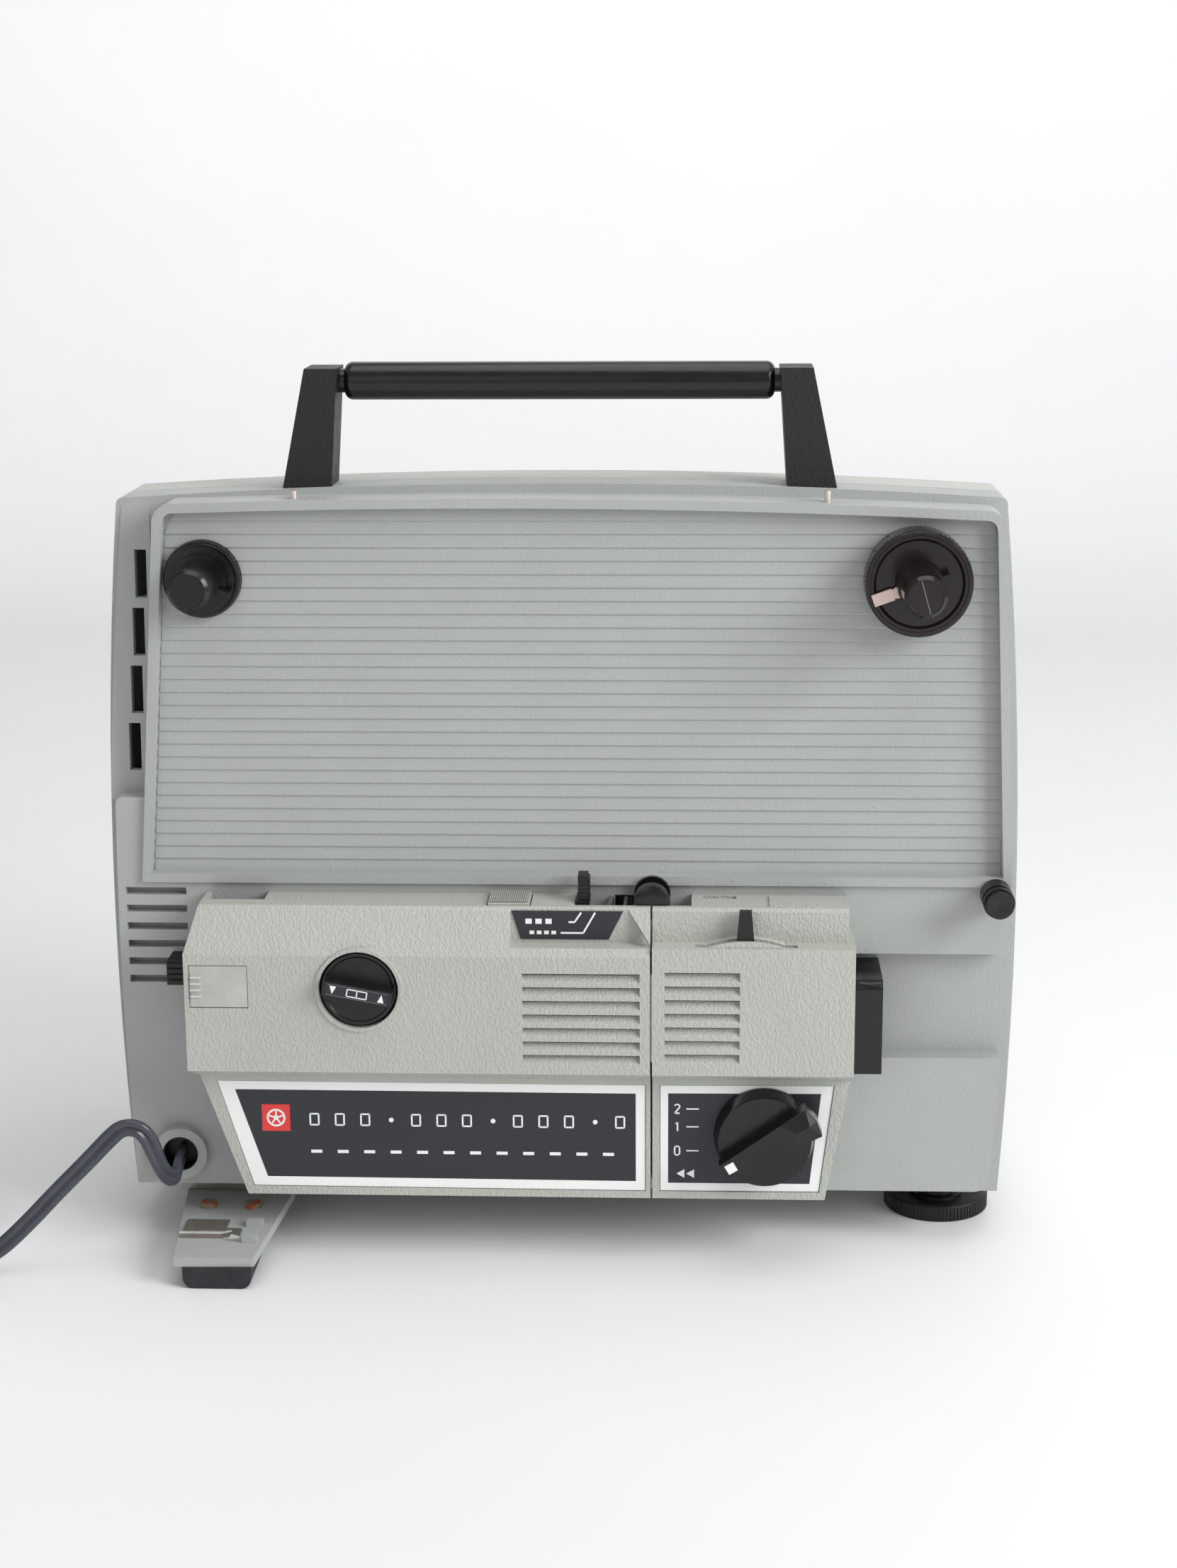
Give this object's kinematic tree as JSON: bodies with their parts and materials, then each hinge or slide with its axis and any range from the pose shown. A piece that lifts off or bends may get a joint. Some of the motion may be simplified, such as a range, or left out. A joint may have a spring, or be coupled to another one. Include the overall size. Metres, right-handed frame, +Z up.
{
  "type": "film projector",
  "caption": "Small-gauge cine film projector with reel spindles, pull-off lamp cover, focus lever, carrying handle, screw foot and folding front foot.",
  "frame": {"origin": "middle of the footprint of the projector without its mains lead, on the surface that it stands on", "axes": "+X to the viewer's right as seen from the operating side, +Y from the operating side to the back, +Z up"},
  "size_m": [0.4043, 0.1601, 0.2739],
  "materials": {
    "grey_casting": "satin paint",
    "grey_cover": "fine leather grain",
    "light_grey_back": "fine grain",
    "black_plastic": "satin",
    "black_matte": "matte",
    "printed_plate": "printed, satin",
    "bright_steel": "polished",
    "zinc_steel": "zinc plated, a little rust",
    "chrome": "bright",
    "bronze": "oiled",
    "rubber": "matte",
    "glass": "coated",
    "mirror": "bright",
    "ceramic": "unglazed",
    "copper_winding": "varnished",
    "iron_core": "laminated",
    "white_nylon": "smooth",
    "cord_vinyl": "soft sheen",
    "brass_blades": "plain",
    "pink_latch": "smooth"
  },
  "bodies": {
    "chassis": {"front_casting": "grey_casting", "rear_cover": "light_grey_back", "back_screws": "zinc_steel", "handle_posts": "black_matte", "handle_grip": "black_plastic", "lid_pins": "bright_steel", "lens_cover": "grey_cover", "control_plate": "printed_plate", "guide_rods": "bright_steel", "roller_pins": "bright_steel", "spindle_bushings": "bronze", "rotary_switch": "black_matte", "focus_pivot": "bright_steel", "lens_carrier": "black_matte", "lens_hood": "black_plastic", "gate_plate": "chrome", "projector_lamp": "mirror", "lamp_socket": "ceramic", "shaft_bearings": "bronze", "motor_case": "zinc_steel", "motor_bracket": "zinc_steel", "drive_belts": "rubber", "transformer_core": "iron_core", "transformer_coil": "copper_winding", "arm_mount": "zinc_steel", "rear_feet": "rubber", "cord_gland": "grey_casting", "mains_cord": "cord_vinyl", "cord_coil": "cord_vinyl", "mains_plug": "cord_vinyl", "plug_blades": "brass_blades"},
    "lamp_cover": {"lamp_cover": "grey_cover", "name_plate": "printed_plate", "film_label": "printed_plate"},
    "side_hatch": {"side_hatch": "grey_cover"},
    "release_button": {"release_button": "grey_cover"},
    "framer_dial": {"framer_dial": "black_plastic"},
    "side_latch": {"side_latch": "black_matte"},
    "format_lever": {"format_lever": "black_matte"},
    "film_roller": {"film_roller": "black_plastic"},
    "guide_roller": {"guide_roller": "black_plastic"},
    "take_up_spindle": {"take_up_spindle": "black_plastic", "take_up_pulley": "white_nylon"},
    "supply_spindle": {"supply_spindle": "black_plastic"},
    "supply_latch": {"supply_latch": "pink_latch"},
    "control_knob": {"control_knob": "black_plastic"},
    "focus_lever": {"focus_lever": "black_plastic"},
    "lens_barrel": {"lens_barrel": "black_matte", "lens_glass": "glass"},
    "pressure_plate": {"pressure_plate": "chrome"},
    "film_sprocket": {"film_sprocket": "white_nylon"},
    "shutter": {"shutter_shaft": "bright_steel", "shutter_disc": "black_matte"},
    "motor": {"motor_rotor": "bright_steel", "cooling_fan": "black_matte"},
    "level_foot": {"level_foot": "black_matte"},
    "stabiliser": {"arm_plate": "grey_casting", "arm_foot": "rubber", "arm_clip": "bright_steel", "arm_screws": "zinc_steel"}
  },
  "joints": [
    {"name": "lamp_cover_pull", "type": "slide", "parent": "chassis", "child": "lamp_cover", "axis": [0, -1, 0], "range_m": [0, 0.045]},
    {"name": "side_hatch_hinge", "type": "hinge", "parent": "lamp_cover", "child": "side_hatch", "pos_m": [-0.09325, -0.062, 0.091], "axis": [0, 0, 1], "range_deg": [0, 100]},
    {"name": "release_button_press", "type": "slide", "parent": "lamp_cover", "child": "release_button", "axis": [0, 0, -1], "range_m": [0, 0.0025], "stiffness_N_per_m": 400},
    {"name": "framer_dial_turn", "type": "hinge", "parent": "chassis", "child": "framer_dial", "pos_m": [-0.0595, -0.062, 0.0904], "axis": [0, -1, 0], "range_deg": [-35, 35]},
    {"name": "side_latch_slide", "type": "slide", "parent": "chassis", "child": "side_latch", "axis": [1, 0, 0], "range_m": [-0.002, 0]},
    {"name": "format_lever_shift", "type": "slide", "parent": "chassis", "child": "format_lever", "axis": [1, 0, 0], "range_m": [0, 0.0041]},
    {"name": "film_roller_spin", "type": "hinge", "parent": "chassis", "child": "film_roller", "pos_m": [0.0285, -0.046, 0.1153], "axis": [0, -1, 0], "continuous": true},
    {"name": "guide_roller_spin", "type": "hinge", "parent": "chassis", "child": "guide_roller", "pos_m": [0.1326, -0.046, 0.1156], "axis": [0, -1, 0], "continuous": true},
    {"name": "supply_spindle_spin", "type": "hinge", "parent": "chassis", "child": "supply_spindle", "pos_m": [0.1069, -0.046, 0.2113], "axis": [0, -1, 0], "continuous": true},
    {"name": "supply_latch_slide", "type": "slide", "parent": "supply_spindle", "child": "supply_latch", "axis": [0.9397, 0, 0.342], "range_m": [0, 0.0015], "stiffness_N_per_m": 150},
    {"name": "control_knob_turn", "type": "hinge", "parent": "chassis", "child": "control_knob", "pos_m": [0.063, -0.06, 0.0425], "axis": [0, -1, 0], "range_deg": [-44, 22]},
    {"name": "focus_lever_swing", "type": "hinge", "parent": "chassis", "child": "focus_lever", "pos_m": [0.0567, -0.0585, 0.071], "axis": [0, 1, 0], "range_deg": [-20, 20]},
    {"name": "lens_focus", "type": "slide", "parent": "chassis", "child": "lens_barrel", "axis": [1, 0, 0], "range_m": [-0.0024, 0.0024]},
    {"name": "pressure_plate_spring", "type": "slide", "parent": "chassis", "child": "pressure_plate", "axis": [1, 0, 0], "range_m": [0, 0.002], "stiffness_N_per_m": 300},
    {"name": "motor_spin", "type": "hinge", "parent": "chassis", "child": "motor", "pos_m": [-0.035, 0.035, 0.125], "axis": [1, 0, 0], "continuous": true},
    {"name": "shutter_spin", "type": "hinge", "parent": "chassis", "child": "shutter", "pos_m": [0, -0.012, 0.0777], "axis": [1, 0, 0], "continuous": true},
    {"name": "film_sprocket_spin", "type": "hinge", "parent": "chassis", "child": "film_sprocket", "pos_m": [-0.03, -0.046, 0.1], "axis": [0, -1, 0], "continuous": true},
    {"name": "take_up_spin", "type": "hinge", "parent": "chassis", "child": "take_up_spindle", "pos_m": [-0.1065, -0.046, 0.2112], "axis": [0, -1, 0], "continuous": true},
    {"name": "level_foot_screw", "type": "hinge", "parent": "chassis", "child": "level_foot", "pos_m": [0.1205, -0.0046, 0.005], "axis": [0, 0, 1], "continuous": true},
    {"name": "stabiliser_swing", "type": "hinge", "parent": "chassis", "child": "stabiliser", "pos_m": [-0.105, -0.012, 0.0085], "axis": [0, 0, 1], "range_deg": [0, 90]}
  ],
  "couplings": [
    {"joint": "lens_focus", "follows": "focus_lever_swing", "m_per_rad": 0.0067},
    {"joint": "shutter_spin", "follows": "motor_spin", "ratio": 0.5798},
    {"joint": "film_sprocket_spin", "follows": "motor_spin", "ratio": 0.03624},
    {"joint": "take_up_spin", "follows": "motor_spin", "ratio": 0.02017}
  ]
}
